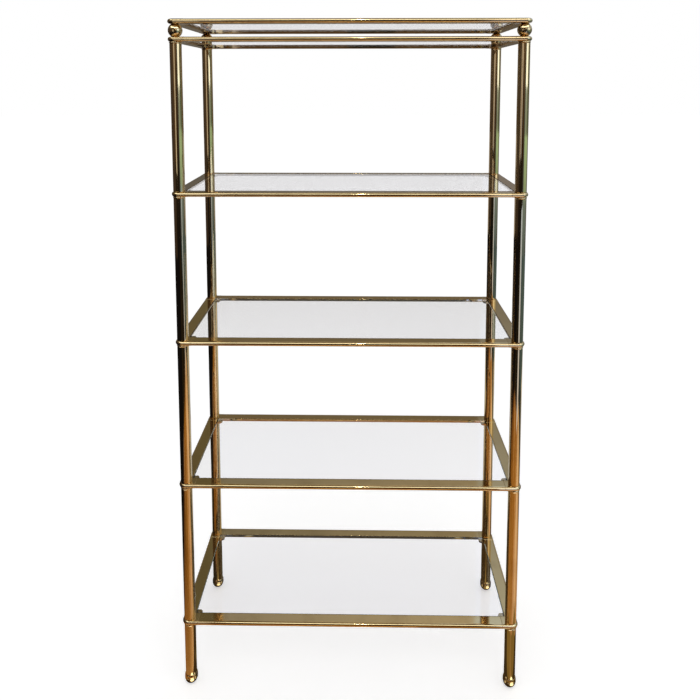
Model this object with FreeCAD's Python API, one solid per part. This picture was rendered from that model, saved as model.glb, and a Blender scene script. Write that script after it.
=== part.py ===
import FreeCAD, Part
import math
import os

# Etagere in polished brass with lift-out glass shelves. Four round posts are
# stacked from short tubes. Between the tubes sit rectangular frames, each made
# of four corner castings and four hollow bullnose rails. A second frame stands
# on four balls above the uppermost one, and every frame holds a loose pane.
# Millimetres, +Z up, front towards -Y. The origin lies on the floor, midway
# between the four posts.

V = FreeCAD.Vector
UP = V(0, 0, 1)
ORIGIN = V(0, 0, 0)

# ---------------------------------------------------------------- layout
post_spacing_x = 872.0      # between post axes, left to right
post_spacing_y = 336.0      # between post axes, front to back
leg_height = 177.5          # floor to the underside of the lowest rails
shelf_pitch = 391.5         # from one shelf frame up to the next
shelf_names = ["shelf_1", "shelf_2", "shelf_3", "shelf_4"]
crown_gap = 32.5            # clear height between the rails of the two upper frames

# ---------------------------------------------------------------- post tubes
tube_diameter = 30.0
tube_wall = 1.5
tube_end_chamfer = 0.7

# ---------------------------------------------------------------- rails
rail_thickness = 12.0
rail_wall = 1.6
nose_overhang = 3.5         # how far the nose stands outside the tube
inner_setback = 2.0         # how far the inner face lies inside the tube's side

# ---------------------------------------------------------------- corner castings
casting_proud = 0.25        # castings stand this much proud of the rails they meet
arm_beyond_tube = 10.5      # from the tube's side to the seam with the rail
seam_chamfer = 0.5
tenon_length = 18.0
tenon_clearance = 0.1
lug_size = 16.0             # lug under each corner of the pane, measured from the opening
lug_corner_radius = 8.0

# ---------------------------------------------------------------- panes
pane_thickness = 6.0
pane_clearance = 1.0        # gap between the pane's edge and the frame
pane_recess = 0.5           # pane's top below the rails' top
pane_corner_radius = 3.0
pane_arris = 0.6

# ---------------------------------------------------------------- studs and plugs
stud_diameter = 8.0
stud_clearance = 0.25       # radial, where a stud only passes through
thread_fit = 0.05           # radial, where a stud or screw is screwed in
stud_engagement = 12.0
stud_end_gap = 0.5
plug_length = 16.0
plug_fit = 0.05             # radial, plug in tube
collar_height = 4.0         # bead round the plug's top, visible under each frame
collar_overhang = 0.8       # the bead's belly beyond the tube
top_skin = 3.0              # metal left above the blind hole of the top castings

# ---------------------------------------------------------------- rail screws
screw_diameter = 4.0
screw_head_diameter = 7.2
screw_length = 7.0

# ---------------------------------------------------------------- balls and feet
ball_diameter = 36.0
foot_diameter = 35.0
foot_height = 28.0
foot_flat_diameter = 12.0
foot_ring_height = 8.0
foot_ring_bulge = 1.4
foot_groove_width = 1.0
foot_groove_depth = 1.1
foot_lip = 0.5              # foot's top edge beyond the tube
foot_hole_depth = 14.0

# ---------------------------------------------------------------- derived sizes
tube_radius = tube_diameter / 2
tube_bore_radius = tube_radius - tube_wall
half_rail = rail_thickness / 2
half_casting = half_rail + casting_proud
inner_reach = tube_radius - inner_setback
nose_reach = tube_radius + nose_overhang
seam_reach = tube_radius + arm_beyond_tube
screw_reach = seam_reach + tenon_length / 2
pane_bottom = half_rail - pane_recess - pane_thickness
stud_radius = stud_diameter / 2
plug_bore_radius = stud_radius + thread_fit
collar_radius = tube_radius + collar_overhang
foot_radius = foot_diameter / 2

shelf_levels = [leg_height + half_rail + shelf_pitch * i for i in range(len(shelf_names))]
crown_level = shelf_levels[-1] + shelf_pitch
top_level = crown_level + rail_thickness + crown_gap
frame_levels = dict(zip(shelf_names, shelf_levels))
frame_levels["crown"] = crown_level
frame_levels["top"] = top_level


# ---------------------------------------------------------------- helpers
def moved(shape, x, y, z):
    """A copy of the shape, shifted."""
    copy = shape.copy()
    copy.translate(V(x, y, z))
    return copy


def turned(shape, quarter_turns):
    """A copy of the shape, turned about the vertical axis."""
    copy = shape.copy()
    copy.rotate(ORIGIN, UP, 90 * quarter_turns)
    return copy


def at_posts(shape, z=0.0):
    """Four copies, one on each post axis, turned so that local +X and +Y point inwards."""
    signs = [(-1, -1), (1, -1), (1, 1), (-1, 1)]
    return [
        moved(turned(shape, turn), sx * post_spacing_x / 2, sy * post_spacing_y / 2, z)
        for turn, (sx, sy) in enumerate(signs)
    ]


def save(node, solids):
    """Write one node, which may hold several separate solids."""
    shape = solids[0] if len(solids) == 1 else Part.makeCompound(solids)
    shape.exportStep(os.path.join("parts", node + ".step"))
    print(node, len(shape.Solids), "solids", round(shape.Volume / 1000, 1), "cm3")


def rod(radius, bottom, top):
    """A vertical cylinder on the local axis."""
    return Part.makeCylinder(radius, top - bottom, V(0, 0, bottom))


def straight(*points):
    """Straight edges from point to point."""
    return Part.makePolygon(list(points)).Edges


def arc(start, middle, end):
    """One circular edge through three points."""
    return [Part.Arc(start, middle, end).toShape()]


def face_of(edges):
    """A flat face inside a closed ring of edges."""
    return Part.Face(Part.Wire(edges))


# ---------------------------------------------------------------- bullnose profile
def bullnose(inner, half, inset=0.0):
    """Cross-section facing -Y in the YZ plane: flat top and bottom, half-round nose.

    inner is the reach of the flat inner face, towards +Y; half is half the
    thickness; inset moves the whole outline inwards.
    """
    nose_centre = half_rail - nose_reach
    back = inner - inset
    half = half - inset
    low_back = V(0, back, -half)
    low_nose = V(0, nose_centre, -half)
    tip = V(0, nose_centre - half, 0)
    high_nose = V(0, nose_centre, half)
    high_back = V(0, back, half)
    nose = arc(low_nose, tip, high_nose)
    return face_of(nose + straight(high_nose, high_back, low_back, low_nose))


# ---------------------------------------------------------------- rail screws
def screw(grow=0.0):
    """Countersunk screw pointing up, its head flush at z = 0; grown, it is its own hole."""
    shank_radius = screw_diameter / 2 + grow
    head_radius = screw_head_diameter / 2 + grow
    head = Part.makeCone(head_radius, shank_radius, head_radius - shank_radius)
    shank = rod(shank_radius, 0, screw_length + grow)
    return head.fuse(shank).removeSplitter()


# ---------------------------------------------------------------- rails
def rail(length):
    """Hollow bullnose rail along X, nose towards -Y, with a screw hole near each end."""
    outside = bullnose(inner_reach, half_rail)
    inside = bullnose(inner_reach, half_rail, rail_wall)
    section = outside.cut(inside)
    bar = section.Faces[0].extrude(V(length, 0, 0))
    bar.translate(V(-length / 2, 0, 0))
    hole_x = length / 2 - tenon_length / 2
    holes = [moved(screw(thread_fit), side * hole_x, 0, -half_rail) for side in (-1, 1)]
    return bar.cut(holes)


def frame_rails(level):
    """The four rails of one frame by side."""
    long_rail = rail(post_spacing_x - 2 * seam_reach)
    short_rail = rail(post_spacing_y - 2 * seam_reach)
    return {
        "front": moved(long_rail, 0, -post_spacing_y / 2, level),
        "right": moved(turned(short_rail, 1), post_spacing_x / 2, 0, level),
        "back": moved(turned(long_rail, 2), 0, post_spacing_y / 2, level),
        "left": moved(turned(short_rail, 3), -post_spacing_x / 2, 0, level),
    }


# ---------------------------------------------------------------- corner castings
def casting_arm():
    """Arm along +X from the post axis to the seam, its visible end edges chamfered."""
    arm = bullnose(inner_reach, half_casting).extrude(V(seam_reach, 0, 0))
    seam_edges = [
        edge for edge in arm.Edges
        if all(abs(v.X - seam_reach) < 1e-6 for v in edge.Vertexes)
        and edge.BoundBox.YMin < inner_reach - 1e-6
    ]
    return arm.makeChamfer(seam_chamfer, seam_edges)


def casting_corner():
    """The nose carried round the outside of the post: the outer half-section revolved."""
    nose_half = bullnose(0.0, half_casting)
    return nose_half.revolve(ORIGIN, UP, -90)


def tenon():
    """Tongue on +X that fits inside the hollow rail."""
    tongue = bullnose(inner_reach, half_rail, rail_wall + tenon_clearance)
    tongue = tongue.extrude(V(tenon_length, 0, 0))
    tongue.translate(V(seam_reach, 0, 0))
    return tongue.cut(moved(screw(thread_fit), screw_reach, 0, -half_rail))


def lug():
    """Rounded square lug in the inside corner, which carries one corner of the pane."""
    near = inner_reach
    far = inner_reach + lug_size
    centre = far - lug_corner_radius
    middle = centre + lug_corner_radius * math.cos(math.radians(45))
    rounded = arc(V(far, centre, 0), V(middle, middle, 0), V(centre, far, 0))
    sides = straight(
        V(centre, far, 0), V(near, far, 0), V(near, near, 0), V(far, near, 0), V(far, centre, 0))
    outline = face_of(rounded + sides)
    outline.translate(V(0, 0, -half_rail))
    return outline.extrude(V(0, 0, pane_bottom + half_rail))


def mirrored(shape):
    """Swap local X and Y, which carries one arm onto the other."""
    return shape.mirror(ORIGIN, V(1, -1, 0))


def corner_casting(blind):
    """L-shaped casting round one post; blind leaves the top face closed."""
    arm = casting_arm()
    tongue = tenon()
    body = casting_corner().fuse([arm, mirrored(arm), lug(), tongue, mirrored(tongue)])
    body = body.removeSplitter()
    if blind:
        bore = rod(plug_bore_radius, -half_casting, half_casting - top_skin)
    else:
        bore = rod(stud_radius + stud_clearance, -half_casting, half_casting)
    return body.cut(bore)


# ---------------------------------------------------------------- panes
def pane():
    """Glass pane with rounded corners and ground edges, its underside at z = 0."""
    width = post_spacing_x - 2 * (inner_reach + pane_clearance)
    depth = post_spacing_y - 2 * (inner_reach + pane_clearance)
    sheet = Part.makeBox(width, depth, pane_thickness, V(-width / 2, -depth / 2, 0))
    upright = [edge for edge in sheet.Edges if edge.BoundBox.ZLength > pane_thickness / 2]
    sheet = sheet.makeFillet(pane_corner_radius, upright)
    rims = [edge for edge in sheet.Edges if edge.BoundBox.ZLength < pane_thickness / 2]
    return sheet.makeChamfer(pane_arris, rims)


# ---------------------------------------------------------------- tubes and plugs
def tube(bottom, top):
    """Post tube with both outer end edges chamfered."""
    outside = rod(tube_radius, bottom, top)
    end_edges = [
        edge for edge in outside.Edges
        if isinstance(edge.Curve, Part.Circle)
    ]
    outside = outside.makeChamfer(tube_end_chamfer, end_edges)
    return outside.cut(rod(tube_bore_radius, bottom, top))


def end_plug(bottom):
    """Plain tapped plug, flush with a tube's lower end."""
    plug = rod(tube_bore_radius - plug_fit, bottom, bottom + plug_length)
    return plug.cut(rod(plug_bore_radius, bottom, bottom + plug_length))


def collar_plug(top):
    """Tapped plug for a tube's upper end, with a bead that shows as a collar."""
    bead_bottom = top - collar_height
    spigot_bottom = bead_bottom - plug_length
    spigot_radius = tube_bore_radius - plug_fit
    bead_low = V(tube_radius, 0, bead_bottom)
    bead_high = V(tube_radius, 0, top)
    bead = arc(bead_low, V(collar_radius, 0, top - collar_height / 2), bead_high)
    rest = straight(
        bead_high,
        V(plug_bore_radius, 0, top),
        V(plug_bore_radius, 0, spigot_bottom),
        V(spigot_radius, 0, spigot_bottom),
        V(spigot_radius, 0, bead_bottom),
        bead_low)
    return face_of(bead + rest).revolve(ORIGIN, UP, 360)


# ---------------------------------------------------------------- balls and feet
def ball():
    """Bored ball, flattened where it meets the frames below and above."""
    gap = top_level - crown_level - 2 * half_casting
    sphere = Part.makeSphere(ball_diameter / 2)
    band = rod(ball_diameter, -gap / 2, gap / 2)
    return sphere.common(band).cut(rod(stud_radius + stud_clearance, -gap / 2, gap / 2))


def foot():
    """Turned foot: a dome on a small flat, a groove and a bulging ring under the tube."""
    flat_radius = foot_flat_diameter / 2
    dome_centre = math.sqrt(foot_radius ** 2 - flat_radius ** 2)
    groove_top = foot_height - foot_ring_height
    dome_top = groove_top - foot_groove_width
    dome_top_radius = math.sqrt(foot_radius ** 2 - (dome_top - dome_centre) ** 2)
    ring_radius = dome_top_radius
    groove_radius = dome_top_radius - foot_groove_depth
    lip_radius = tube_radius + foot_lip
    bulge_radius = (ring_radius + lip_radius) / 2 + foot_ring_bulge / 2
    bulge_height = (groove_top + foot_height) / 2
    hole_bottom = foot_height - foot_hole_depth
    flat_rim = V(flat_radius, 0, 0)
    dome_rim = V(dome_top_radius, 0, dome_top)
    ring_low = V(ring_radius, 0, groove_top)
    ring_high = V(lip_radius, 0, foot_height)
    dome_slope = math.radians(-45)
    dome_side = V(
        foot_radius * math.cos(dome_slope), 0, dome_centre + foot_radius * math.sin(dome_slope))
    dome = arc(flat_rim, dome_side, dome_rim)
    groove = straight(
        dome_rim, V(groove_radius, 0, dome_top), V(groove_radius, 0, groove_top), ring_low)
    ring = arc(ring_low, V(bulge_radius, 0, bulge_height), ring_high)
    hole = straight(
        ring_high,
        V(plug_bore_radius, 0, foot_height),
        V(plug_bore_radius, 0, hole_bottom),
        V(0, 0, hole_bottom),
        V(0, 0, 0),
        flat_rim)
    profile = face_of(dome + groove + ring + hole)
    return profile.revolve(ORIGIN, UP, 360)


# ---------------------------------------------------------------- build
os.makedirs("parts", exist_ok=True)

for frame_name, level in frame_levels.items():
    for side, bar in frame_rails(level).items():
        save(frame_name + "_" + side + "_rail", [bar])
    save(frame_name + "_corner_castings", at_posts(corner_casting(frame_name == "top"), level))
    save(frame_name + "_glass", [moved(pane(), 0, 0, level + pane_bottom)])

# Each tier of the posts is named after the frame that it carries.
tier_bottoms = [foot_height] + [level + half_casting for level in shelf_levels]
tier_tops = [level - half_casting for level in shelf_levels + [crown_level]]
tier_names = ["leg"] + ["bay_" + str(i + 1) for i in range(len(shelf_levels))]
collar_plugs = []
end_plugs = []
for tier, bottom, top in zip(tier_names, tier_bottoms, tier_tops):
    save(tier + "_tubes", at_posts(tube(bottom, top - collar_height)))
    collar_plugs += at_posts(collar_plug(top))
    end_plugs += at_posts(end_plug(bottom))
save("collar_plugs", collar_plugs)
save("end_plugs", end_plugs)

# A stud ties the plug below a shelf frame to the plug above it.
joint_studs = []
for level in shelf_levels:
    stud_bottom = level - half_casting - collar_height - stud_engagement
    joint_studs += at_posts(rod(stud_radius, stud_bottom, level + half_casting + stud_engagement))
save("joint_studs", joint_studs)

# A longer stud runs from the highest plug through the crown frame and the ball.
crown_stud_bottom = crown_level - half_casting - collar_height - stud_engagement
crown_stud_top = top_level + half_casting - top_skin - stud_end_gap
save("crown_studs", at_posts(rod(stud_radius, crown_stud_bottom, crown_stud_top)))

foot_stud_bottom = foot_height - foot_hole_depth + stud_end_gap
save("foot_studs", at_posts(rod(stud_radius, foot_stud_bottom, foot_height + stud_engagement)))

save("crown_balls", at_posts(ball(), (crown_level + top_level) / 2))
save("feet", at_posts(foot()))

rail_screws = []
for level in frame_levels.values():
    for reach in [(screw_reach, 0), (0, screw_reach)]:
        rail_screws += at_posts(moved(screw(), reach[0], reach[1], 0), level - half_rail)
save("rail_screws", rail_screws)
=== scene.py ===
# %% [markdown]
# # A brass etagere with glass shelves
#
# The object is a tall open stand: four round brass posts carry six rectangular
# frames, and a loose pane of glass lies in each frame. The frame of the model
# arrives from CAD at its real size, so this lesson only gives it its finish: round,
# polished metal that mirrors the room, clear glass and the light to see them by.

import bmesh
import bpy
import numpy as np
from mathutils import Matrix, Vector


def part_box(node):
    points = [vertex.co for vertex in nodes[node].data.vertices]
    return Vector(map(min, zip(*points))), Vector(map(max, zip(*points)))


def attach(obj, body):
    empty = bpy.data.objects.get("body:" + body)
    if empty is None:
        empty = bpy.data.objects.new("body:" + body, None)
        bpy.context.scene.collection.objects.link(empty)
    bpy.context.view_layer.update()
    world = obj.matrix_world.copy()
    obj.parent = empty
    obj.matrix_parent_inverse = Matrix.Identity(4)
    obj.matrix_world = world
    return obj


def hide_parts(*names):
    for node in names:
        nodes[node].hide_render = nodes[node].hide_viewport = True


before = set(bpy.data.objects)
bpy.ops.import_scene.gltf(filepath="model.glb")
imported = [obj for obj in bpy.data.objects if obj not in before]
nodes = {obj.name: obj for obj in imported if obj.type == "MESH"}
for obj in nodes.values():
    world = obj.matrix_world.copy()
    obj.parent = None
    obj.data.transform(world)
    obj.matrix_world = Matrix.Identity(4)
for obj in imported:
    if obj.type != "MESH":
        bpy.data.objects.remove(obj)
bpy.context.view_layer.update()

# %% [markdown]
# ## Sizes
#
# Every place is read from the CAD nodes. Only the sections that a box can't tell
# are written here, once, in metres: the tube's wall, the rail's rounded nose and
# the small radii that a polisher leaves on an edge.

# %% Sizes in metres
MM = 0.001
tube_radius = 15 * MM
tube_wall = 1.5 * MM
tube_chamfer = 0.7 * MM
rail_half = 6 * MM
rail_wall = 1.6 * MM
casting_half = 6.23 * MM        # a hair under the CAD size, to stay inside its box
inner_reach = 13 * MM           # from the post's axis to the frame's inner face
nose_reach = 18.5 * MM          # from the post's axis to the tip of the nose
nose_axis = nose_reach - rail_half
seam_reach = 25.5 * MM          # from the post's axis to the seam with the rail
seam_chamfer = 0.5 * MM
tenon_length = 18 * MM
tenon_clearance = 0.1 * MM
lug_size = 16 * MM
lug_radius = 8 * MM
stud_radius = 4 * MM

# Radii left by polishing, which a bevel rounds off.
rail_edge = 0.3 * MM
casting_edge = 0.25 * MM
ball_edge = 0.2 * MM
foot_edge = 0.15 * MM

tube_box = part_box("leg_tubes")
post_x = tube_box[1].x - tube_radius
post_y = tube_box[1].y - tube_radius
corner_signs = [(-1, -1), (1, -1), (1, 1), (-1, 1)]
frame_names = ["shelf_1", "shelf_2", "shelf_3", "shelf_4", "crown", "top"]


def middle(title):
    """Half way between the lowest and the highest corner of a CAD node."""
    low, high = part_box(title)
    return (low + high) / 2


levels = {name: middle(name + "_front_rail").z for name in frame_names}
print("post axes at", round(post_x, 4), round(post_y, 4))
print("frame levels", {name: round(z, 4) for name, z in levels.items()})

# %% [markdown]
# ## From a formula to a mesh
#
# Each piece is a grid of points: a closed section, carried round an axis or along
# a path. The grid's rows are the stations and its columns are the points of the
# section. `weave` joins neighbours to quads, and wraps where the grid is closed.


# %% Grids and sections
def weave(rows, columns, close_rows=False, close_columns=True):
    """Quads between neighbouring points of a grid, as an array of corner numbers."""
    row = np.arange(rows if close_rows else rows - 1)
    column = np.arange(columns if close_columns else columns - 1)
    r, c = np.meshgrid(row, column, indexing="ij")
    here, beyond = r * columns, (r + 1) % rows * columns
    next_c = (c + 1) % columns
    corners = [here + c, here + next_c, beyond + next_c, beyond + c]
    return np.stack(corners, axis=-1).reshape(-1, 4)


def arc(centre, radius, start, end, steps):
    """Points centre + radius * (cos a, sin a), with a in degrees from start to end."""
    angle = np.radians(np.linspace(start, end, steps + 1))
    return np.asarray(centre) + radius * np.stack([np.cos(angle), np.sin(angle)], axis=-1)


class Shape:
    """Points and faces of one piece, collected from several grids."""

    def __init__(self):
        self.points = []
        self.faces = []
        self.count = 0

    def add(self, grid, faces, caps=()):
        """Take a grid of points with its quads, and rings of point numbers that close it."""
        flat = np.asarray(grid, float).reshape(-1, 3)
        self.points.append(flat)
        self.faces += (np.asarray(faces) + self.count).tolist()
        self.faces += [(np.asarray(ring) + self.count).tolist() for ring in caps]
        self.count += len(flat)
        return self

    def moved(self, move):
        """The same faces with all points sent through a function."""
        other = Shape()
        other.points = [move(np.concatenate(self.points))]
        other.faces = [list(face) for face in self.faces]
        other.count = self.count
        return other

    def placed(self, turn, x, y, z):
        """The same shape turned by quarter turns about the vertical and shifted."""
        cosine, sine = np.cos(turn * np.pi / 2), np.sin(turn * np.pi / 2)
        rotation = np.array([[cosine, -sine, 0], [sine, cosine, 0], [0, 0, 1]])
        return self.moved(lambda points: points @ rotation.T + (x, y, z))

    def mirrored(self):
        """The same shape with X and Y swapped, which carries one arm onto the other."""
        return self.moved(lambda points: points[:, [1, 0, 2]])


def joined(shapes):
    """Several shapes as one."""
    whole = Shape()
    for shape in shapes:
        whole.points += shape.points
        whole.faces += [[corner + whole.count for corner in face] for face in shape.faces]
        whole.count += shape.count
    return whole


def at_posts(shape, z=0.0):
    """Four copies on the post axes, turned so that local +X and +Y point inwards."""
    return joined(
        shape.placed(turn, sx * post_x, sy * post_y, z)
        for turn, (sx, sy) in enumerate(corner_signs))


def lathe(profile, turns=96):
    """A closed profile of (radius, height) pairs turned round the vertical axis."""
    angle = np.linspace(0, 2 * np.pi, turns, endpoint=False)[:, None]
    radius, height = np.asarray(profile).T
    grid = np.stack([
        radius * np.cos(angle),
        radius * np.sin(angle),
        np.broadcast_to(height, (turns, len(radius)))], axis=-1)
    return Shape().add(grid, weave(turns, len(radius), close_rows=True))


def capped(rings):
    """A closed body from a stack of rings, with a flat cap on the first and the last."""
    rings = np.asarray(rings)
    rows, columns = rings.shape[:2]
    cap = np.arange(columns)
    return Shape().add(rings, weave(rows, columns), [cap, cap + (rows - 1) * columns])


# %% Meshes tied to the frame
weld_distance = 1e-6
no_length = 1e-7                # edges shorter than this are taken out
sharp_angle = np.radians(30)    # steeper edges stay sharp in the shading
bevel_angle = np.radians(40)    # steeper edges are rounded by the bevel


def clean(mesh):
    """Weld double points, take out empty faces and turn all faces outwards."""
    work = bmesh.new()
    work.from_mesh(mesh)
    bmesh.ops.remove_doubles(work, verts=work.verts, dist=weld_distance)
    bmesh.ops.dissolve_degenerate(work, edges=work.edges, dist=no_length)
    bmesh.ops.recalc_face_normals(work, faces=work.faces)
    work.to_mesh(mesh)
    work.free()


def build(name, shape, material, body, replaced, edge=0.0):
    """Make the mesh, round its edges if an edge is given, and tie it to its body."""
    mesh = bpy.data.meshes.new(name)
    mesh.from_pydata(np.concatenate(shape.points), [], shape.faces)
    clean(mesh)
    mesh.polygons.foreach_set("use_smooth", np.ones(len(mesh.polygons), bool))
    mesh.set_sharp_from_angle(angle=sharp_angle)
    mesh.materials.append(material)
    piece = bpy.data.objects.new(name, mesh)
    bpy.context.scene.collection.objects.link(piece)
    if edge:
        bevel = piece.modifiers.new("rounded edges", "BEVEL")
        bevel.width = edge
        bevel.segments = 2
        bevel.limit_method = "ANGLE"
        bevel.angle_limit = bevel_angle
    weighted = piece.modifiers.new("flats stay flat", "WEIGHTED_NORMAL")
    weighted.keep_sharp = True
    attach(piece, body)
    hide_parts(*replaced)
    return piece


# %% [markdown]
# ## Materials
#
# Old polished brass is a mirror with a warm tint. Three things keep it from looking
# like plastic: faint lines from the polishing wheel, a slow waviness that bends the
# mirrored room, and a thin brown tarnish in patches. All three are shared, so they
# are node groups, and each material gives them its own strength and direction.


# %% Node helpers
def link(tree, source, target):
    """One wire from an output to an input."""
    tree.links.new(source, target)


def node(tree, kind, **values):
    """A new node with some of its properties set."""
    made = tree.nodes.new(kind)
    for key, value in values.items():
        setattr(made, key, value)
    return made


def set_inputs(made, **values):
    """Constant values on a node's inputs; an underscore in a key stands for a space."""
    for key, value in values.items():
        made.inputs[key.replace("_", " ")].default_value = value


def new_material(name):
    """A material with its node tree and the shader in it."""
    material = bpy.data.materials.new(name)
    material.use_nodes = True
    return material, material.node_tree, material.node_tree.nodes["Principled BSDF"]


def new_group(name, inputs, outputs):
    """An empty group from (kind, name, default) triples going in and (kind, name) pairs out."""
    group = bpy.data.node_groups.new(name, "ShaderNodeTree")
    for kind, label, default in inputs:
        socket = group.interface.new_socket(name=label, in_out="INPUT", socket_type=kind)
        socket.default_value = default
    for kind, label in outputs:
        group.interface.new_socket(name=label, in_out="OUTPUT", socket_type=kind)
    return group, node(group, "NodeGroupInput"), node(group, "NodeGroupOutput")


def math_node(tree, operation, first, second):
    """A Math node fed by sockets or plain numbers."""
    made = node(tree, "ShaderNodeMath", operation=operation)
    for socket, value in zip(made.inputs, (first, second)):
        if isinstance(value, bpy.types.NodeSocket):
            link(tree, value, socket)
        else:
            socket.default_value = value
    return made.outputs[0]


# %% Polishing marks: fine lines and slow waves
def make_polish_group():
    """Height of the polishing lines and waves, and the roughness that the lines leave."""
    group, entry, leave = new_group(
        "polishing marks",
        [("NodeSocketVector", "Line scale", (600, 600, 20)),
         ("NodeSocketVector", "Wave scale", (8, 8, 5)),
         ("NodeSocketFloat", "Roughness", 0.1),
         ("NodeSocketFloat", "Spread", 0.06)],
        [("NodeSocketFloat", "Lines"), ("NodeSocketFloat", "Waves"),
         ("NodeSocketFloat", "Roughness")])
    coordinates = node(group, "ShaderNodeTexCoord")
    outputs = {}
    for label, scale, detail in [("Lines", "Line scale", 3.0), ("Waves", "Wave scale", 1.0)]:
        stretch = node(group, "ShaderNodeVectorMath", operation="MULTIPLY")
        link(group, coordinates.outputs["Object"], stretch.inputs[0])
        link(group, entry.outputs[scale], stretch.inputs[1])
        noise = node(group, "ShaderNodeTexNoise")
        set_inputs(noise, Scale=1.0, Detail=detail)
        link(group, stretch.outputs[0], noise.inputs["Vector"])
        outputs[label] = noise.outputs["Fac"]
        link(group, noise.outputs["Fac"], leave.inputs[label])
    centred = math_node(group, "SUBTRACT", outputs["Lines"], 0.5)
    swing = math_node(group, "MULTIPLY", centred, entry.outputs["Spread"])
    total = math_node(group, "ADD", entry.outputs["Roughness"], swing)
    link(group, total, leave.inputs["Roughness"])
    return group


# %% Tarnish: brown patches
patch_start, patch_full = 0.42, 0.72    # noise at which a patch begins and is whole


def make_tarnish_group():
    """A mask from 0, bright metal, to 1, brown, and the metal's colour under that mask."""
    group, entry, leave = new_group(
        "tarnish",
        [("NodeSocketColor", "Bright", (0.6, 0.4, 0.2, 1)),
         ("NodeSocketColor", "Brown", (0.2, 0.1, 0.05, 1)),
         ("NodeSocketFloat", "Amount", 0.5),
         ("NodeSocketFloat", "Patch scale", 12.0)],
        [("NodeSocketColor", "Color"), ("NodeSocketFloat", "Mask")])
    coordinates = node(group, "ShaderNodeTexCoord")
    noise = node(group, "ShaderNodeTexNoise")
    set_inputs(noise, Detail=5.0, Roughness=0.6)
    link(group, coordinates.outputs["Object"], noise.inputs["Vector"])
    link(group, entry.outputs["Patch scale"], noise.inputs["Scale"])
    patches = node(group, "ShaderNodeMapRange", interpolation_type="SMOOTHSTEP")
    set_inputs(patches, From_Min=patch_start, From_Max=patch_full)
    link(group, noise.outputs["Fac"], patches.inputs["Value"])
    mask = math_node(group, "MULTIPLY", patches.outputs["Result"], entry.outputs["Amount"])
    mix = node(group, "ShaderNodeMix", data_type="RGBA")
    link(group, mask, mix.inputs["Factor"])
    link(group, entry.outputs["Bright"], mix.inputs["A"])
    link(group, entry.outputs["Brown"], mix.inputs["B"])
    link(group, mix.outputs["Result"], leave.inputs["Color"])
    link(group, mask, leave.inputs["Mask"])
    return group


polish_group = make_polish_group()
tarnish_group = make_tarnish_group()
print("groups:", polish_group.name, "and", tarnish_group.name)

# %% Brass
bright_brass = (0.68, 0.48, 0.23, 1)
brown_brass = (0.34, 0.20, 0.08, 1)
line_depth = 0.0006 * MM        # of the polishing lines
tarnish_dulling = 0.12          # roughness that full tarnish adds


def make_brass(name, line_scale, wave_scale, wave_depth, roughness=0.055, tarnish=0.25):
    """Polished brass; line_scale is large across the polishing lines and small along them."""
    material, tree, shader = new_material(name)
    set_inputs(shader, Metallic=1.0)
    marks = node(tree, "ShaderNodeGroup", node_tree=polish_group)
    set_inputs(marks, Line_scale=line_scale, Wave_scale=wave_scale)
    set_inputs(marks, Roughness=roughness, Spread=0.05)
    stain = node(tree, "ShaderNodeGroup", node_tree=tarnish_group)
    set_inputs(stain, Bright=bright_brass, Brown=brown_brass, Amount=tarnish)
    link(tree, stain.outputs["Color"], shader.inputs["Base Color"])
    dulled = math_node(tree, "MULTIPLY", stain.outputs["Mask"], tarnish_dulling)
    total = math_node(tree, "ADD", marks.outputs["Roughness"], dulled)
    link(tree, total, shader.inputs["Roughness"])
    waves = node(tree, "ShaderNodeBump")
    set_inputs(waves, Distance=wave_depth)
    link(tree, marks.outputs["Waves"], waves.inputs["Height"])
    lines = node(tree, "ShaderNodeBump")
    set_inputs(lines, Distance=line_depth)
    link(tree, marks.outputs["Lines"], lines.inputs["Height"])
    link(tree, waves.outputs["Normal"], lines.inputs["Normal"])
    link(tree, lines.outputs["Normal"], shader.inputs["Normal"])
    return material


tube_brass = make_brass("polished brass tube", (500, 500, 25), (9, 9, 6), 0.10 * MM)
x_rail_brass = make_brass("polished brass along x", (25, 500, 500), (4, 10, 10), 0.05 * MM)
y_rail_brass = make_brass("polished brass along y", (500, 25, 500), (10, 4, 10), 0.05 * MM)
cast_brass = make_brass("cast brass", (300, 300, 300), (30, 30, 30), 0.04 * MM, 0.12, 0.5)
turned_brass = make_brass("turned brass", (120, 120, 900), (20, 20, 20), 0.03 * MM, 0.08, 0.4)
ball_brass = make_brass("handled brass", (200, 200, 300), (20, 20, 20), 0.03 * MM, 0.15, 0.6)
plug_brass = make_brass("machined brass", (200, 200, 900), (10, 10, 10), 0.01 * MM, 0.2, 0.2)
brasses = [tube_brass, x_rail_brass, y_rail_brass, cast_brass, turned_brass, ball_brass, plug_brass]
print("brass finishes:", [made.name for made in brasses])


# %% Steel and glass
def make_steel():
    """Zinc-plated steel: a grey metal whose roughness follows the drawn lines."""
    material, tree, shader = new_material("zinc plated steel")
    set_inputs(shader, Base_Color=(0.55, 0.55, 0.53, 1), Metallic=1.0)
    marks = node(tree, "ShaderNodeGroup", node_tree=polish_group)
    set_inputs(marks, Line_scale=(300, 300, 1500), Roughness=0.32, Spread=0.2)
    link(tree, marks.outputs["Roughness"], shader.inputs["Roughness"])
    return material


def make_glass(name, tint):
    """Clear float glass: its tint is what is left of white light after the whole way through."""
    material, _, shader = new_material(name)
    set_inputs(shader, Base_Color=tint, Roughness=0.0, IOR=1.45, Transmission_Weight=1.0)
    return material


steel = make_steel()
glass = make_glass("shelf glass", (0.945, 0.94, 0.955, 1))
rim_glass = make_glass("ground glass edge", (0.42, 0.62, 0.46, 1))
print("other finishes:", [made.name for made in (steel, glass, rim_glass)])

# %% [markdown]
# ## Post tubes and their collars
#
# A tube is the simplest lathe work there is: a tall thin rectangle turned about the
# post. Its end edges are chamfered so that each joint shows as a fine dark line.
# Under every frame the plug in the tube's end swells to a bead, the collar.

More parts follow.
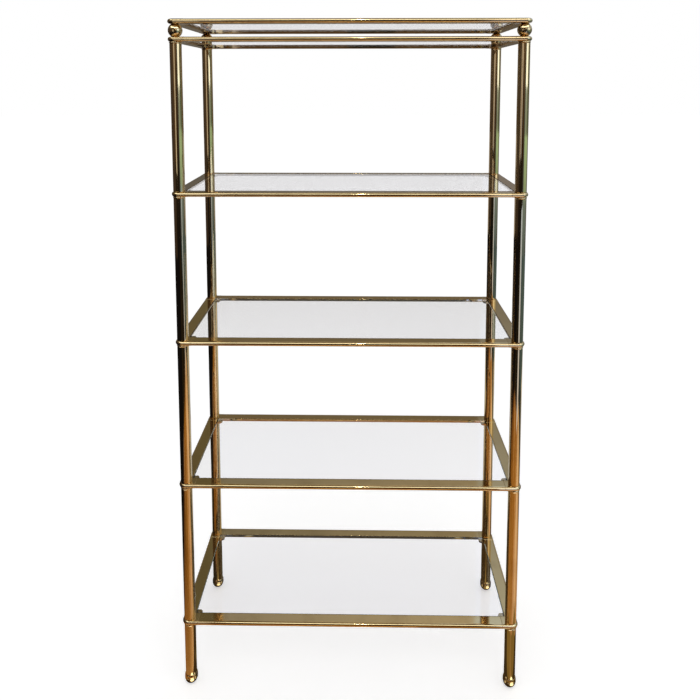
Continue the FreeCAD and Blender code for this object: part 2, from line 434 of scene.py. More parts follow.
# %% Tubes
tube_rings = 24
tiers = ["leg_tubes", "bay_1_tubes", "bay_2_tubes", "bay_3_tubes", "bay_4_tubes"]


def tube_profile(bottom, top):
    """Outside with two chamfers, then the bore, as (radius, height) pairs."""
    bore = tube_radius - tube_wall
    rise = np.linspace(bottom + tube_chamfer, top - tube_chamfer, tube_rings)
    outside = np.stack([np.full_like(rise, tube_radius), rise], axis=-1)
    low = [(bore, bottom), (tube_radius - tube_chamfer, bottom)]
    high = [(tube_radius - tube_chamfer, top), (bore, top)]
    return np.concatenate([low, outside, high])


for tier in tiers:
    low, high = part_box(tier)
    tubes = at_posts(lathe(tube_profile(low.z, high.z)))
    piece = build("polished_" + tier, tubes, tube_brass, "frame", [tier])
    print(piece.name, len(piece.data.vertices), "points")

# %% Collars with the plugs that carry them
collar_height = 4 * MM
collar_bulge = 0.8 * MM
collar_steps, collar_turns = 10, 64
plug_length = 16 * MM
plug_fit = 0.05 * MM


def collar_profile(top):
    """A bead on a spigot: the bead is an arc whose sagitta is the bulge."""
    radius = (collar_height ** 2 / 4 + collar_bulge ** 2) / (2 * collar_bulge)
    half_angle = np.degrees(np.arcsin(collar_height / 2 / radius))
    centre = (tube_radius + collar_bulge - radius, top - collar_height / 2)
    bead = arc(centre, radius, -half_angle, half_angle, collar_steps)
    spigot = tube_radius - tube_wall - plug_fit
    shoulder = top - collar_height
    bottom = shoulder - plug_length
    rest = [(stud_radius, top), (stud_radius, bottom), (spigot, bottom), (spigot, shoulder)]
    return np.concatenate([bead, rest])


collar_tops = [levels[name] - casting_half for name in frame_names[:-1]]
collars = joined(at_posts(lathe(collar_profile(top), collar_turns)) for top in collar_tops)
build("collars", collars, turned_brass, "frame", ["collar_plugs"])
print("collars:", 4 * len(collar_tops))

# %% [markdown]
# ## Bullnose rails
#
# A rail is a flat bar with a half-round nose, drawn hollow. Its section is two
# closed loops, one inside the other. Four rows make it a closed body: the outer loop
# at both ends, then the inner loop at both ends on the way back.

# %% Rails
nose_steps = 16
nose_strip = 0.4 * MM           # flat strip beside the nose, which keeps its shading apart


def bullnose(inset):
    """Section as (outward, up) pairs: half-round nose, then a straight inner side."""
    half = rail_half - inset
    nose = arc((nose_axis, 0), half, -90, 90, nose_steps)
    strip = nose_axis - nose_strip
    back = inset - inner_reach
    return np.concatenate([nose, [(strip, half), (back, half), (back, -half), (strip, -half)]])


def extruded(section, start, end):
    """The section's points at two places along X, its outward side facing -Y."""
    outward, up = section.T
    rows = [np.stack([np.full_like(up, x), -outward, up], axis=-1) for x in (start, end)]
    return np.array(rows)


def rail_shape(length):
    """Hollow rail along X, centred on the origin."""
    outer = extruded(bullnose(0), -length / 2, length / 2)
    inner = extruded(bullnose(rail_wall), length / 2, -length / 2)
    grid = np.concatenate([outer, inner])
    return Shape().add(grid, weave(len(grid), grid.shape[1], close_rows=True))


long_rail = rail_shape(2 * (post_x - seam_reach))
short_rail = rail_shape(2 * (post_y - seam_reach))
rail_places = {                 # shape, metal, quarter turns, x and y
    "front": (long_rail, x_rail_brass, 0, 0, -post_y),
    "right": (short_rail, y_rail_brass, 1, post_x, 0),
    "back": (long_rail, x_rail_brass, 2, 0, post_y),
    "left": (short_rail, y_rail_brass, 3, -post_x, 0),
}
for name in frame_names:
    for side, (shape, metal, turn, x, y) in rail_places.items():
        title = name + "_" + side + "_rail"
        placed = shape.placed(turn, x, y, levels[name])
        build("polished_" + title, placed, metal, "frame", [title], rail_edge)
print("rails:", len(frame_names) * len(rail_places))

# %% [markdown]
# ## Corner castings
#
# The casting is the piece that takes the most skill: its nose runs round the outside
# of the post while its inner side keeps a sharp corner for the glass. The section is
# carried along the nose's centre line, and each station also has a partner on the
# inner line. Round the post all partners are the same corner point, so the flats
# close as a fan.

# %% Castings
corner_steps = 24
lug_steps = 10
hair_gap = 0.05 * MM            # keeps glass and metal from sharing a surface
pane_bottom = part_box("shelf_1_glass")[0].z - levels["shelf_1"]


def casting_stations():
    """Nose centre, outward direction and inner partner of each station, in plan."""
    arm = np.array([seam_reach, seam_reach - seam_chamfer, inner_reach])
    down = np.tile([0.0, -1.0], (len(arm), 1))
    first = np.stack([arm, np.full_like(arm, -nose_axis)], axis=-1)
    first_inner = np.stack([arm, np.full_like(arm, inner_reach)], axis=-1)
    turn = np.radians(np.linspace(-90, -180, corner_steps + 1))
    around = np.stack([np.cos(turn), np.sin(turn)], axis=-1)
    corner = np.tile([inner_reach, inner_reach], (len(turn), 1))
    centres = np.concatenate([first, nose_axis * around, first[::-1, ::-1]])
    outward = np.concatenate([down, around, down[:, ::-1]])
    inner = np.concatenate([first_inner, corner, first_inner[::-1, ::-1]])
    return centres, outward, inner


def casting_body():
    """The nose round the post, with chamfered ends at the two seams."""
    centres, outward, inner = casting_stations()
    half = np.full(len(centres), casting_half)
    half[[0, -1]] -= seam_chamfer
    angle = np.radians(np.linspace(-90, 90, nose_steps + 1))
    reach = half[:, None] * np.cos(angle)
    nose = np.concatenate([
        centres[:, None] + reach[..., None] * outward[:, None],
        (half[:, None] * np.sin(angle))[..., None]], axis=-1)
    strip = centres - nose_strip * outward
    partners = [
        np.column_stack([strip, half]), np.column_stack([inner, half]),
        np.column_stack([inner, -half]), np.column_stack([strip, -half])]
    return capped(np.concatenate([nose, np.stack(partners, axis=1)], axis=1))


def lug_shape():
    """Rounded square lug that carries the pane's corner."""
    far = inner_reach + lug_size
    centre = far - lug_radius
    rounded = arc((centre, centre), lug_radius, 0, 90, lug_steps)
    near = [(inner_reach, inner_reach), (far, inner_reach)]
    outline = np.concatenate([near, rounded, [(inner_reach, far)]])
    heights = (-rail_half, pane_bottom - hair_gap)
    return capped([np.column_stack([outline, np.full(len(outline), z)]) for z in heights])


tenon_section = bullnose(rail_wall + tenon_clearance)
tenon = capped(extruded(tenon_section, seam_reach, seam_reach + tenon_length))
casting = joined([casting_body(), lug_shape(), tenon, tenon.mirrored()])
for name in frame_names:
    title = name + "_corner_castings"
    four = at_posts(casting, levels[name])
    build("polished_" + title, four, cast_brass, "frame", [title], casting_edge)
print("castings:", 4 * len(frame_names))

# %% [markdown]
# ## Balls and feet
#
# Both are turned on a lathe. The ball is cut flat where the frames hold it, and the
# foot is a dome, a groove and a bulging ring, all arcs in its profile.

# %% Balls
ball_radius = 18 * MM
ball_bore = 4.25 * MM
ball_steps = 40
ball_low, ball_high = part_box("crown_balls")
ball_half = (ball_high.z - ball_low.z) / 2
flat_angle = np.degrees(np.arcsin(ball_half / ball_radius))
ball_profile = np.concatenate([
    [(ball_bore, -ball_half)],
    arc((0, 0), ball_radius, -flat_angle, flat_angle, ball_steps),
    [(ball_bore, ball_half)]])
balls = at_posts(lathe(ball_profile), middle("crown_balls").z)
build("polished_balls", balls, ball_brass, "frame", ["crown_balls"], ball_edge)
print("balls:", round(2 * ball_half / MM, 2), "mm high between the frames")

# %% Feet
foot_radius = 17.5 * MM
foot_height = 28 * MM
foot_flat = 6 * MM
ring_height = 8 * MM
ring_bulge = 1.4 * MM
groove_width = 1.0 * MM
groove_depth = 1.1 * MM
foot_lip = 0.5 * MM
hole_depth = 14 * MM
dome_steps, ring_steps = 28, 12


def through(start, middle_point, end, steps):
    """Points of the circle through three points, found from two perpendicular bisectors."""
    a, b, c = (np.asarray(p, float) for p in (start, middle_point, end))
    chords = 2 * np.array([b - a, c - a])
    centre = np.linalg.solve(chords, [b @ b - a @ a, c @ c - a @ a])
    first = np.degrees(np.arctan2(*(a - centre)[::-1]))
    last = np.degrees(np.arctan2(*(c - centre)[::-1]))
    return arc(centre, np.linalg.norm(a - centre), first, last, steps)


def foot_profile():
    """Dome on a small flat, groove, bulging ring and the hole for the stud."""
    dome_centre = np.sqrt(foot_radius ** 2 - foot_flat ** 2)
    groove_top = foot_height - ring_height
    dome_top = groove_top - groove_width
    ring_radius = np.sqrt(foot_radius ** 2 - (dome_top - dome_centre) ** 2)
    groove_radius = ring_radius - groove_depth
    lip_radius = tube_radius + foot_lip
    belly = ((ring_radius + lip_radius) / 2 + ring_bulge / 2, (groove_top + foot_height) / 2)
    start_angle = np.degrees(np.arctan2(-dome_centre, foot_flat))
    end_angle = np.degrees(np.arctan2(dome_top - dome_centre, ring_radius))
    hole_top = foot_height - hole_depth
    return np.concatenate([
        [(0, 0)],
        arc((0, dome_centre), foot_radius, start_angle, end_angle, dome_steps),
        [(groove_radius, dome_top), (groove_radius, groove_top)],
        through((ring_radius, groove_top), belly, (lip_radius, foot_height), ring_steps),
        [(stud_radius, foot_height), (stud_radius, hole_top), (0, hole_top)]])


feet = at_posts(lathe(foot_profile()))
build("polished_feet", feet, turned_brass, "frame", ["feet"], foot_edge)

# %% [markdown]
# ## Glass panes
#
# A pane is a rounded rectangle whose edge is ground to a small chamfer above and
# below. The rim is a grid of four rings, and the two faces are one polygon each.
# The rim takes a greener glass, since light that leaves there has crossed the pane.

# %% Panes
pane_corner = 3 * MM
pane_corner_steps = 8
arris = 0.6 * MM
face_limit = 0.9                # a face whose normal is less upright belongs to the rim


def pane_ring(half_x, half_y, inset, z):
    """One closed ring of the rounded rectangle, pulled in by inset."""
    centre_x, centre_y = half_x - pane_corner, half_y - pane_corner
    radius = pane_corner - inset
    corners = [(1, 1, 0), (-1, 1, 90), (-1, -1, 180), (1, -1, 270)]
    ring = np.concatenate([
        arc((sx * centre_x, sy * centre_y), radius, start, start + 90, pane_corner_steps)
        for sx, sy, start in corners])
    return np.column_stack([ring, np.full(len(ring), z)])


def paint_rim(piece):
    """Give the second material to every face that isn't level."""
    polygons = piece.data.polygons
    normals = np.empty((len(polygons), 3), np.float32)
    polygons.foreach_get("normal", normals.ravel())
    rim = np.abs(normals[:, 2]) < face_limit
    polygons.foreach_set("material_index", rim.astype(np.int32))


for name in frame_names:
    low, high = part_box(name + "_glass")
    insets = [(arris, low.z), (0, low.z + arris), (0, high.z - arris), (arris, high.z)]
    pane = capped([pane_ring(high.x, high.y, inset, z) for inset, z in insets])
    title = name + "_glass"
    piece = build("clear_" + title, pane, glass, name + "_pane", [title])
    piece.data.materials.append(rim_glass)
    paint_rim(piece)
print("panes:", len(frame_names))

# %% [markdown]
# ## Rail screws and the pieces that stay hidden
#
# The heads of the screws show under the rails, so they get a slot. Plugs and studs
# are inside the tubes: their CAD meshes stay as they are and only take a material.

# %% Rail screws
head_radius = 3.6 * MM
shank_radius = 2 * MM
screw_length = 7 * MM
screw_turns = 24
dome_height = 0.35 * MM
dome_span, dome_rings = 60, 3           # degrees of arc over the raised head
slot_half_width = 0.45 * MM
slot_half_length = 0.7 * head_radius
slot_outside = 1.02 * dome_height       # just proud of the dome, so that it shows
slot_inside = 0.5 * dome_height


def screw_shape():
    """Raised countersunk screw, head down, with its rim level with z = 0."""
    across, down = arc((0, 0), 1.0, 0, dome_span, dome_rings).T
    dome = np.stack([head_radius * across, -dome_height * down / down[-1]], axis=-1)
    cone_height = head_radius - shank_radius
    profile = np.concatenate([
        [(0, -dome_height)], dome[::-1],
        [(shank_radius, cone_height), (shank_radius, screw_length), (0, screw_length)]])
    slot_section = np.array([
        (slot_half_width, -slot_outside), (slot_half_width, -slot_inside),
        (-slot_half_width, -slot_inside), (-slot_half_width, -slot_outside)])
    slot = capped(extruded(slot_section, -slot_half_length, slot_half_length))
    return joined([lathe(profile, screw_turns), slot])


screw_reach = seam_reach + tenon_length / 2
screw = screw_shape()
pair = joined([screw.placed(0, screw_reach, 0, 0), screw.placed(1, 0, screw_reach, 0)])
screws = joined(at_posts(pair, levels[name] - rail_half) for name in frame_names)
build("slotted_rail_screws", screws, steel, "frame", ["rail_screws"])
print("screws:", 8 * len(frame_names))

# %% Hidden nodes
hidden = {
    "end_plugs": plug_brass,
    "joint_studs": steel,
    "crown_studs": steel,
    "foot_studs": steel,
}
for title, material in hidden.items():
    mesh = nodes[title].data
    mesh.materials.clear()
    mesh.materials.append(material)
print("hidden nodes:", list(hidden))

# %% [markdown]
# ## Floor and world
#
# The stand is shown on white. The floor's own colour is pale, and rays that end in
# the camera, in a mirror or behind glass see it a little brighter, so that it meets
# the white world with no edge and still keeps the soft shadow of the stand.

# %% Floor and world
world_light = 0.6               # strength of the world on what it lights
floor_half = 30.0
floor_color = (0.82, 0.82, 0.82, 1)
floor_lift = 0.53               # glow of the floor for the rays that see it


def seen_ray(tree):
    """1 for rays from the camera, a reflection or a transmission, else 0."""
    path = node(tree, "ShaderNodeLightPath").outputs
    some = math_node(tree, "MAXIMUM", path["Is Camera Ray"], path["Is Glossy Ray"])
    return math_node(tree, "MAXIMUM", some, path["Is Transmission Ray"])


def make_world():
    """Pure white for the rays that see it, and a weaker light for the rest."""
    world = bpy.data.worlds.new("white studio")
    world.use_nodes = True
    tree = world.node_tree
    background = tree.nodes["Background"]
    set_inputs(background, Color=(1, 1, 1, 1))
    rise = math_node(tree, "MULTIPLY", seen_ray(tree), 1 - world_light)
    link(tree, math_node(tree, "ADD", rise, world_light), background.inputs["Strength"])
    return world


def make_floor_paint():
    """Matt pale paint that glows for the rays that see it."""
    material, tree, shader = new_material("pale floor")
    set_inputs(shader, Base_Color=floor_color, Roughness=1.0, Specular_IOR_Level=0.0)
    set_inputs(shader, Emission_Color=(1, 1, 1, 1))
    lift = math_node(tree, "MULTIPLY", seen_ray(tree), floor_lift)
    link(tree, lift, shader.inputs["Emission Strength"])
    return material


def rectangle(us, vs):
    """The corners of a rectangle in order, from two (low, high) pairs."""
    return [(us[0], vs[0]), (us[1], vs[0]), (us[1], vs[1]), (us[0], vs[1])]


bpy.context.scene.world = make_world()
floor_mesh = bpy.data.meshes.new("floor")
floor_side = (-floor_half, floor_half)
floor_corners = [(x, y, 0) for x, y in rectangle(floor_side, floor_side)]
floor_mesh.from_pydata(floor_corners, [], [(0, 1, 2, 3)])
floor_mesh.materials.append(make_floor_paint())
floor = bpy.data.objects.new("floor", floor_mesh)
bpy.context.scene.collection.objects.link(floor)
print("floor:", 2 * floor_half, "m wide")

# %% [markdown]
# ## A room for the brass to mirror
#
# Polished metal has hardly a colour of its own: it shows what stands around it. So
# the stand gets a room of glowing cards that only reflections see. Windows draw the
# pale lines on the posts and dark walls the black ones, a skylight lies along the
# top of every rail, and a varnished floor in a pool of light warms the lower bays.
#
# Flat glass would mirror the cards as well. For a first, sharp reflection most of
# them are one pale colour, which keeps the panes light. Only the high cards behind
# the stand keep their own colours there, and give the panes a little shade.

# %% Cards that only reflections see
glass_shine = (0.96, 0.955, 0.97, 1)
own_color_in_glass = {
    "behind left high", "behind right high", "behind dark", "behind high",
    "slope behind left", "slope behind", "slope behind right"}
varnish_tint = np.array([1.0, 0.8, 0.6])
varnish_roughness = 0.2
second_mirror = 1.5             # glossy depth between a first and a second reflection


def card_color(tree, path, pale_in_glass):
    """The mesh's painted colour, or the pale one where glass mirrors the card first."""
    painted = node(tree, "ShaderNodeAttribute", attribute_name="shade").outputs["Color"]
    if not pale_in_glass:
        return painted
    choice = node(tree, "ShaderNodeMix", data_type="RGBA")
    sharp = math_node(tree, "MULTIPLY", path["Is Singular Ray"], path["Is Reflection Ray"])
    first = math_node(tree, "LESS_THAN", path["Glossy Depth"], second_mirror)
    link(tree, math_node(tree, "MULTIPLY", sharp, first), choice.inputs["Factor"])
    link(tree, painted, choice.inputs["A"])
    set_inputs(choice, B=glass_shine)
    return choice.outputs["Result"]


def varnished(tree, surface, lacquer):
    """The surface with a glossy coat, which is as strong as lacquer says."""
    varnish = node(tree, "ShaderNodeBsdfAnisotropic")
    set_inputs(varnish, Color=(*(lacquer * varnish_tint), 1), Roughness=varnish_roughness)
    both = node(tree, "ShaderNodeAddShader")
    link(tree, surface, both.inputs[0])
    link(tree, varnish.outputs[0], both.inputs[1])
    return both.outputs[0]


def make_card_material(name, pale_in_glass, lacquer):
    """A glow for rays that a surface has mirrored, and nothing at all for others."""
    material, tree, shader = new_material(name)
    material.cycles.emission_sampling = "NONE"
    tree.nodes.remove(shader)
    path = node(tree, "ShaderNodeLightPath").outputs
    shine = node(tree, "ShaderNodeEmission")
    link(tree, card_color(tree, path, pale_in_glass), shine.inputs["Color"])
    surface = shine.outputs[0]
    if lacquer:
        surface = varnished(tree, surface, lacquer)
    mirrored = math_node(tree, "MINIMUM", path["Glossy Depth"], 1.0)
    either = node(tree, "ShaderNodeMixShader")
    link(tree, mirrored, either.inputs[0])
    link(tree, node(tree, "ShaderNodeBsdfTransparent").outputs[0], either.inputs[1])
    link(tree, surface, either.inputs[2])
    link(tree, either.outputs[0], tree.nodes["Material Output"].inputs["Surface"])
    return material


def glow(name, points, faces, colors, pale_in_glass=True, lacquer=0.0):
    """A card that shines with the colours of its corners."""
    mesh = bpy.data.meshes.new(name)
    mesh.from_pydata(points, [], faces)
    shade = mesh.color_attributes.new("shade", "FLOAT_COLOR", "POINT")
    opaque = np.column_stack([colors, np.ones(len(colors))])
    shade.data.foreach_set("color", opaque.astype(np.float32).ravel())
    mesh.materials.append(make_card_material(name, pale_in_glass, lacquer))
    made = bpy.data.objects.new(name, mesh)
    bpy.context.scene.collection.objects.link(made)
    made.visible_camera = False
    made.visible_diffuse = False
    made.visible_shadow = False


# %% Forms of card
panel_step = 10                 # widest azimuth step of a curved card, degrees
pool_corner = 0.8               # 1 is an ellipse, and less fills its corners
pool_rings = np.array([0.02, 0.35, 0.7, 0.93, 1.0])     # shares of the pool's reach
pool_points = 48                # points on each ring
disc_step = 24                  # degrees
beam_core = 0.25                # share of a beam's width that is fully bright


def on_circle(azimuth, radius, height):
    """A place at an azimuth in degrees, counted from -Y towards +X."""
    angle = np.radians(azimuth)
    x, y = radius * np.sin(angle), -radius * np.cos(angle)
    return np.stack([x, y, np.full_like(angle, height)], axis=-1)


def shaded(color, steps):
    """Colours along a rim: one colour, or a pair for its first and its last azimuth."""
    first, last = np.atleast_2d(color)[[0, -1]]
    share = np.linspace(0, 1, steps)[:, None]
    return first * (1 - share) + last * share


def panel(name, azimuths, low, high, low_color, high_color):
    """A curved card, shaded from its low to its high rim, which are (radius, height) pairs."""
    steps = int(np.ceil((azimuths[1] - azimuths[0]) / panel_step)) + 1
    azimuth = np.linspace(*azimuths, steps)
    points = np.concatenate([on_circle(azimuth, *low), on_circle(azimuth, *high)])
    colors = np.concatenate([shaded(low_color, steps), shaded(high_color, steps)])
    faces = weave(2, steps, close_columns=False).tolist()
    glow(name, points, faces, colors, pale_in_glass=name not in own_color_in_glass)


def board(name, xs, ys, height, color):
    """A level card of one colour."""
    points = [(x, y, height) for x, y in rectangle(xs, ys)]
    glow(name, points, [(0, 1, 2, 3)], [color] * 4)


def screen(name, xs, y, zs, low_color, high_color):
    """An upright card that faces the stand, shaded from its lower to its upper edge."""
    points = [(x, y, z) for x, z in rectangle(xs, zs)]
    glow(name, points, [(0, 1, 2, 3)], [low_color] * 2 + [high_color] * 2)


def disc(name, x, y, radius, height, color):
    """A round level card of one colour."""
    rim = on_circle(np.arange(0, 360, disc_step), radius, height) + (x, y, 0)
    glow(name, rim, [list(range(len(rim)))], [color] * len(rim))


def beam(name, start, end, width, color, edge_color, height):
    """A streak of light on the floor, bright along its middle and fading to both sides."""
    start, end = np.asarray(start, float), np.asarray(end, float)
    along = (end - start) / np.linalg.norm(end - start)
    across = np.array([-along[1], along[0]]) * width / 2
    sides = (-1, -beam_core, beam_core, 1)
    places = [place + side * across for place in (start, end) for side in sides]
    points = np.column_stack([places, np.full(len(places), height)])
    faces = weave(2, len(sides), close_columns=False).tolist()
    glow(name, points, faces, [edge_color, color, color, edge_color] * 2)


def light_pool(name, centre, reach, height, stops, rim_color, lacquer):
    """A rounded patch of lit floor: its colour runs along X by stops and fades at the rim."""
    angle = np.linspace(0, 2 * np.pi, pool_points, endpoint=False)
    around = np.stack([np.cos(angle), np.sin(angle)], axis=-1)
    around = np.sign(around) * np.abs(around) ** pool_corner
    flat = (pool_rings[:, None, None] * around * reach + centre).reshape(-1, 2)
    channels = np.transpose(list(stops.values()))
    shade = [np.interp(flat[:, 0], list(stops), channel) for channel in channels]
    colors = np.stack(shade, axis=-1)
    colors[-pool_points:] = rim_color
    points = np.column_stack([flat, np.full(len(flat), height)])
    faces = weave(len(pool_rings), pool_points).tolist() + [list(range(pool_points))]
    glow(name, points, faces, colors, lacquer=lacquer)


# %% Walls, by azimuth and from the floor up
room = 5.0                      # radius of the walls, metres
walls = [                       # name, azimuths, bottom, top, colours at both
    ("dark wall left", (-130, -50), 0, 4.5, (0.05, 0.04, 0.04), (0.12, 0.11, 0.11)),
    ("dark wall ahead", (-50, 22), 0, 0.9, (0.01, 0.01, 0.015), (0.03, 0.025, 0.02)),
    ("door frame", (-50, -30), 0.9, 2.4, (0.11, 0.06, 0.03), (0.20, 0.16, 0.13)),
    ("left window", (-30, -15), 0.9, 2.4, (0.48, 0.54, 0.80), (0.85, 0.85, 0.95)),
    ("hall ahead", (-15, 22), 0.9, 2.4, (0.04, 0.02, 0.01), (0.20, 0.16, 0.12)),
    ("lintel", (-50, 15), 2.4, 4.3, (0.05, 0.035, 0.015), (0.06, 0.045, 0.03)),
    ("narrow window", (15, 24), 2.4, 4.2, (1.60, 1.55, 1.60), (1.40, 1.35, 1.40)),
    ("lintel right", (15, 24), 4.2, 4.3, (0.12, 0.11, 0.08), (0.12, 0.11, 0.08)),
    ("pier", (24, 38), 2.4, 4.3, (0.05, 0.035, 0.015), (0.06, 0.045, 0.03)),
    ("gap", (22, 38), 0, 2.4, (0.10, 0.14, 0.22), (0.05, 0.06, 0.07)),
    ("window sill", (38, 100), 0, 0.55, (0.12, 0.20, 0.32), (0.24, 0.38, 0.56)),
    ("garden", (38, 100), 0.55, 1.15, (0.36, 0.58, 0.56), (0.48, 0.84, 0.74)),
    ("hedge", (38, 75), 1.15, 1.6, (0.30, 0.44, 0.50), (0.40, 0.55, 0.70)),
    ("right window", (38, 75), 1.6, 4.3, (1.75, 2.25, 3.15), (1.10, 1.40, 2.00)),
    ("wall right", (75, 100), 1.15, 2.0, (0.10, 0.20, 0.20), (0.12, 0.14, 0.10)),
    ("side window", (75, 100), 2.0, 4.5, (0.80, 1.00, 1.40), (0.25, 0.32, 0.45)),
    ("corner right", (100, 130), 0, 2.4, (0.08, 0.07, 0.06), (0.28, 0.32, 0.30)),
    ("high window right", (100, 130), 2.4, 4.5, (0.60, 0.80, 1.00), (0.80, 1.00, 1.20)),
    ("behind left low", (198, 230), 0, 1.1, (0.50, 0.52, 0.58), (0.50, 0.52, 0.58)),
    ("behind left", (198, 230), 1.1, 2.5, (0.14, 0.12, 0.09), (0.15, 0.15, 0.14)),
    ("behind left high", (198, 230), 2.5, 4.5, (0.17, 0.16, 0.11), (0.15, 0.15, 0.11)),
    ("behind right low", (130, 165), 0, 1.1, (0.60, 0.70, 0.85), (0.60, 0.70, 0.85)),
    ("behind right shade", (130, 165), 1.1, 1.65, (0.10, 0.07, 0.03), (0.14, 0.12, 0.10)),
    ("behind right", (130, 165), 1.65, 2.5, (0.23, 0.21, 0.20), (0.25, 0.24, 0.23)),
    ("behind right high", (130, 165), 2.5, 4.5, (0.24, 0.24, 0.22), (0.54, 0.66, 0.84)),
    ("behind low", (165, 198), 0, 1.2, (0.30, 0.28, 0.26), (0.16, 0.12, 0.07)),
    ("behind eye level", (165, 198), 1.2, 1.9, (0.16, 0.12, 0.07), (0.18, 0.16, 0.14)),
    ("behind shelf light", (165, 198), 1.9, 2.5, (0.18, 0.18, 0.18), (0.20, 0.20, 0.19)),
    ("behind dark", (165, 198), 2.5, 3.2, (0.21, 0.19, 0.15), (0.20, 0.19, 0.16)),
    ("behind high", (165, 198), 3.2, 4.5,
     [(0.28, 0.28, 0.24), (0.20, 0.22, 0.22)], [(0.52, 0.54, 0.55), (0.34, 0.37, 0.42)]),
]
for name, azimuths, bottom, top, low_color, high_color in walls:
    panel(name, azimuths, (room, bottom), (room, top), low_color, high_color)
print("wall cards:", len(walls))

# %% Sloping ceiling, between rims of (radius, height)
lintel_rim, sky_low, sky_high = (room, 4.3), (4.6, 4.9), (3.6, 5.9)
wall_rim, ceiling_rim = (room, 4.5), (1.6, 6.6)
slopes = [                      # name, azimuths, lower and upper rim, colours at both
    ("skylight ahead", (-75, 80), sky_low, sky_high, (3.6, 4.2, 5.0), (3.6, 4.2, 5.0)),
    ("above the lintel", (-75, 80), lintel_rim, sky_low, (0.12, 0.11, 0.08), (0.20, 0.18, 0.14)),
    ("slope ahead", (-90, 90), sky_high, ceiling_rim, (0.22, 0.20, 0.14), (0.28, 0.26, 0.18)),
    ("slope behind left", (198, 270), wall_rim, ceiling_rim,
     (0.15, 0.15, 0.11), (0.17, 0.17, 0.12)),
    ("slope behind", (165, 198), wall_rim, ceiling_rim,
     [(0.54, 0.56, 0.56), (0.35, 0.38, 0.43)], [(0.66, 0.64, 0.60), (0.44, 0.44, 0.44)]),
    ("slope behind right", (90, 165), wall_rim, ceiling_rim,
     (0.64, 0.84, 1.20), (0.70, 0.88, 1.20)),
]
for row in slopes:
    panel(*row)
ceiling_side = (-1.7, 1.7)      # a little past the rim, so that no gap is left
board("ceiling", ceiling_side, ceiling_side, ceiling_rim[1], (0.30, 0.28, 0.19))
print("sloping cards:", len(slopes))

# %% [markdown]
# The floor's reflections are cards too. They lie in thin layers, a fraction of a
# millimetre apart: broad shade, the pool of light, patches that correct it, and
# small lights round each foot, which its dome gathers into a highlight.

# %% Floor in layers
layer = 0.2 * MM
shade_level, pool_level, patch_level, beam_level, spot_level = (
    layer * count for count in (2, 3, 4, 5, 6))
boards = [                      # name, from and to along X, along Y, height, colour
    ("shade left", (-5, -0.95), (-5, 5), shade_level, (0.008, 0.008, 0.012)),
    ("shade ahead", (-0.95, 1.5), (-5, 0.35), shade_level, (0.025, 0.021, 0.016)),
    ("shade ahead middle", (1.5, 2.2), (-5, 0.35), shade_level, (0.03, 0.05, 0.07)),
    ("shade ahead right", (2.2, 5), (-5, -2.2), shade_level, (0.06, 0.12, 0.22)),
    ("shade right", (2.2, 5), (-2.2, 5), shade_level, (0.09, 0.16, 0.24)),
    ("floor by the right foot", (0.2, 0.7), (-0.36, -0.205), patch_level, (0.28, 0.21, 0.08)),
    # a dark card: painted shade under the stand, seen in the reflections of the feet and legs
    ("under the stand", (-0.46, 0.62), (-0.205, 0.35), patch_level, (0.06, 0.045, 0.025)),
    ("floor behind", (-0.95, 1.9), (0.35, 5), shade_level, (0.65, 0.72, 0.82)),
]
for row in boards:
    board(*row)
# Painted pool of light on the varnished floor: the stops run from shade on the left to lit wood on
# the right, and the rim fades to dark.
light_pool(
    "lit varnished floor", centre=(0.33, -0.78), reach=(1.40, 0.98), height=pool_level,
    stops={
        -1.1: (0.10, 0.035, 0.0),
        -0.6: (0.25, 0.11, 0.01),
        -0.3: (0.37, 0.18, 0.03),
        0.5: (0.42, 0.21, 0.05),
        1.5: (0.44, 0.25, 0.10)},
    rim_color=(0.05, 0.03, 0.02), lacquer=0.36)

for sx, sy in corner_signs:
    foot_x, foot_y = sx * post_x, sy * post_y
    disc("shadow under the foot", foot_x, foot_y,
         radius=18 * MM, height=beam_level, color=(0.03, 0.025, 0.015))
    disc("light by the foot", foot_x + 14 * MM, foot_y - 34 * MM,
         radius=16 * MM, height=spot_level, color=(2.6, 2.8, 2.7))
    disc("light beside the foot", foot_x - sx * 37 * MM, foot_y - 14 * MM,
         radius=8 * MM, height=spot_level, color=(1.1, 1.1, 1.0))

back_beam, back_shade = (0.42, 0.36, 0.20), (0.02, 0.015, 0.01)
beams = [                       # name, start, end, width, colour, colour at its edges
    ("glint right foot", (0.448, -0.20), (0.40, -0.42), 0.03,
     (0.50, 0.34, 0.18), (0.27, 0.22, 0.11)),
    ("glint back left foot", (-0.432, 0.150), (-0.367, -0.124), 0.04, back_beam, back_shade),
    ("glint back right foot", (0.432, 0.150), (0.381, -0.096), 0.04, back_beam, back_shade),
]
for row in beams:
    beam(*row, beam_level)
print("floor cards:", len(boards), "boards and", len(beams), "beams")

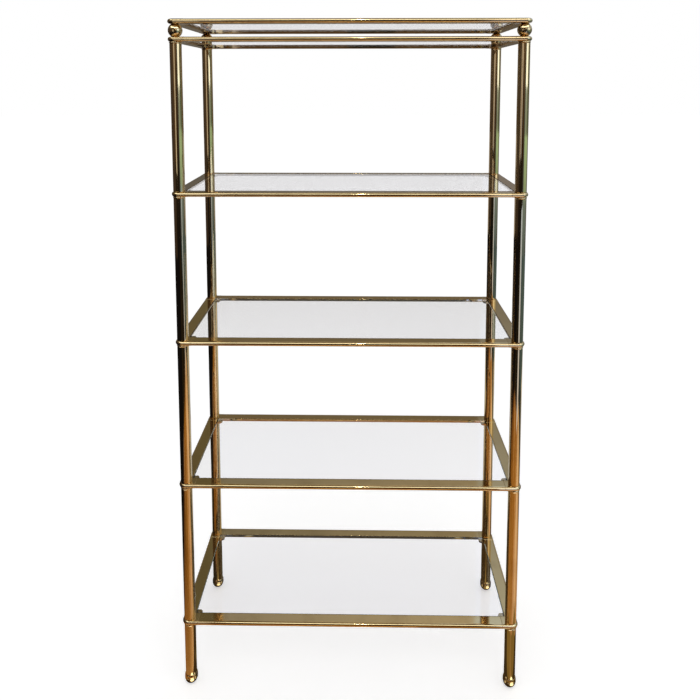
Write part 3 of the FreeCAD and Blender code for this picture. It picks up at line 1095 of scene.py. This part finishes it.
# %% Screens close to the stand
screens = [                     # name, along X, y, along Z, colours below and above
    ("dark stand ahead", (-0.05, 0.25), -2, (0, 1.75), (0.01, 0.01, 0.01), (0.01, 0.01, 0.01)),
    ("pale stand right", (0.56, 1.0), -1.05, (0.25, 1.15), (0.85, 0.95, 1.40), (0.60, 0.90, 1.70)),
    ("near left card", (-0.98, -0.66), -1.3, (1.25, 2.0), (0.80, 0.86, 0.98), (0.80, 0.86, 0.98)),
]
for row in screens:
    screen(*row)
print("screens:", len(screens))

# %% [markdown]
# ## Lamps and camera
#
# Most light comes from the world and the cards. A wide soft box overhead only adds
# to the floor, where it deepens the shadow of the stand, and isn't mirrored. A
# narrow lamp high above the camera leaves the sparkle in the middle of each rail.


# %% Lamps
def lamp(name, place, aim, size, power):
    """A rectangular area lamp that points at a place, unseen by the camera itself."""
    data = bpy.data.lights.new(name, "AREA")
    data.shape = "RECTANGLE"
    data.size, data.size_y = size
    data.energy = power
    made = bpy.data.objects.new(name, data)
    bpy.context.scene.collection.objects.link(made)
    direction = Vector(aim) - Vector(place)
    made.location = place
    made.rotation_euler = direction.to_track_quat("-Z", "Y").to_euler()
    made.visible_camera = False
    made.visible_transmission = False
    return made


soft_box = lamp("overhead soft box", place=(0.1, -1.9, 3.3), aim=(0, 0, 1.0),
                size=(2.4, 0.8), power=9)
soft_box.visible_glossy = False
spark = lamp("spark lamp", place=(0.035, -3.6, 4.5), aim=(0, 0, 0.9),
             size=(0.06, 0.50), power=5)
print("lamps:", soft_box.name, "and", spark.name)

# %% Camera
picture_size = 700
focal_pixels = 647.6
axis_height = 207.0             # pixels from the picture's centre up to the lens axis
sensor_width = 36.0
camera_place = (0.0277, -1.8025, 1.6410)
camera_yaw, camera_pitch, camera_roll = 0.903, -5.319, -0.048       # degrees

camera_data = bpy.data.cameras.new("camera")
camera_data.sensor_width = sensor_width
camera_data.lens = focal_pixels / picture_size * sensor_width
camera_data.shift_y = -axis_height / picture_size
camera = bpy.data.objects.new("camera", camera_data)
bpy.context.scene.collection.objects.link(camera)
turn = Matrix.Rotation(np.radians(camera_yaw), 4, "Z")
tilt = Matrix.Rotation(np.radians(90 + camera_pitch), 4, "X")
roll = Matrix.Rotation(np.radians(camera_roll), 4, "Z")
camera.matrix_world = Matrix.Translation(camera_place) @ turn @ tilt @ roll
bpy.context.scene.camera = camera
bpy.context.scene.view_settings.view_transform = "Standard"
print("lens", round(camera_data.lens, 2), "mm, shift", round(camera_data.shift_y, 4))
